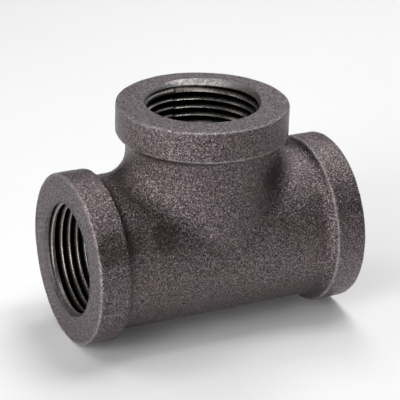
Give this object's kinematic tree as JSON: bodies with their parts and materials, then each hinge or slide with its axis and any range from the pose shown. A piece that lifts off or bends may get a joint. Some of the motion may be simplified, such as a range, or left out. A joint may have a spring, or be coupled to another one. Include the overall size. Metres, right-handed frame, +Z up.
{
  "type": "pipe tee",
  "caption": "Equal pipe tee: a cast-iron body with a straight run and a branch at right angles, each end a banded boss with an internal taper pipe thread.",
  "frame": {"origin": "on the floor plane under the crossing of the run and branch axes, level with the lowest line of the run's bands", "axes": "+X along the run towards the right port, +Z up along the branch"},
  "size_m": [0.0762, 0.0452, 0.0607],
  "materials": {
    "black_iron": "as-cast black oxide, fine sand-cast grain"
  },
  "bodies": {
    "root": {"tee_body": "black_iron"}
  },
  "joints": []
}
